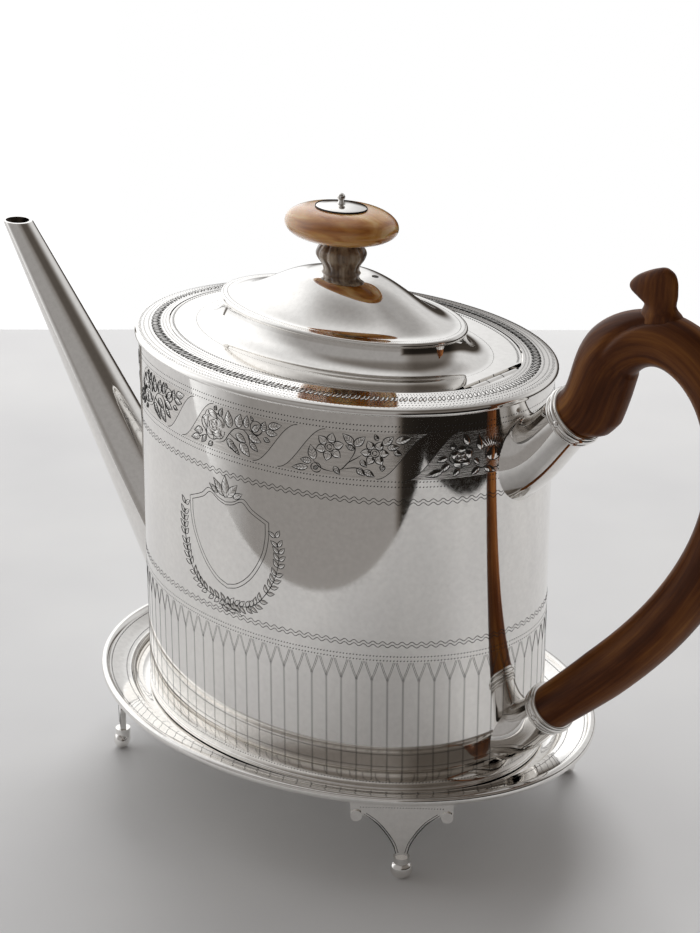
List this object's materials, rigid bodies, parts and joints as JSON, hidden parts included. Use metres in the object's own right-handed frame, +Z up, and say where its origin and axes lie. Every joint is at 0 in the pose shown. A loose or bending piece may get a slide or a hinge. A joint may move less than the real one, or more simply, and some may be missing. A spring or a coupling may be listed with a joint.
{
  "type": "teapot on stand",
  "caption": "Oval straight-sided silver teapot with hinged domed lid, tapered spout and scrolled wooden handle, on a matching oval stand with bracket feet.",
  "frame": {"origin": "on the table, under the middle of the whole object", "axes": "+X towards the handle, -X to the spout, -Y to the engraved front, +Z up"},
  "size_m": [0.2868, 0.127, 0.1815],
  "materials": {
    "silver": "polished sterling silver with bright-cut engraving",
    "fruitwood": "dark fruitwood, carved and waxed",
    "horn_knob": "polished amber-brown horn",
    "horn_stem": "grey-brown horn, reeded"
  },
  "bodies": {
    "stand": {"stand_tray": "silver", "stand_rim_wire": "silver", "front_right_foot_bracket": "silver", "front_right_foot_ball": "silver", "back_right_foot_bracket": "silver", "back_right_foot_ball": "silver", "front_left_foot_bracket": "silver", "front_left_foot_ball": "silver", "back_left_foot_bracket": "silver", "back_left_foot_ball": "silver"},
    "pot": {"body_wall": "silver", "base_plate": "silver", "base_wire": "silver", "shoulder": "silver", "lid_seat": "silver", "spout": "silver", "upper_socket": "silver", "lower_socket": "silver", "upper_socket_collar": "silver", "lower_socket_collar": "silver", "handle": "fruitwood", "upper_handle_pin": "silver", "lower_handle_pin": "silver", "body_hinge_knuckles": "silver", "hinge_pin": "silver"},
    "lid": {"lid": "silver", "lid_bezel": "silver", "lid_hinge_knuckle": "silver", "finial_stem": "horn_stem", "finial_knob": "horn_knob", "finial_cap": "silver", "finial_bolt": "silver", "finial_washer": "silver", "finial_nut": "silver"}
  },
  "joints": [
    {"name": "pot_lift", "type": "slide", "parent": "stand", "child": "pot", "axis": [0, 0, 1], "range_m": [0, 0.06]},
    {"name": "lid_hinge", "type": "hinge", "parent": "pot", "child": "lid", "pos_m": [0.05885, 0, 0.1377], "axis": [0, 1, 0], "range_deg": [0, 90]}
  ]
}
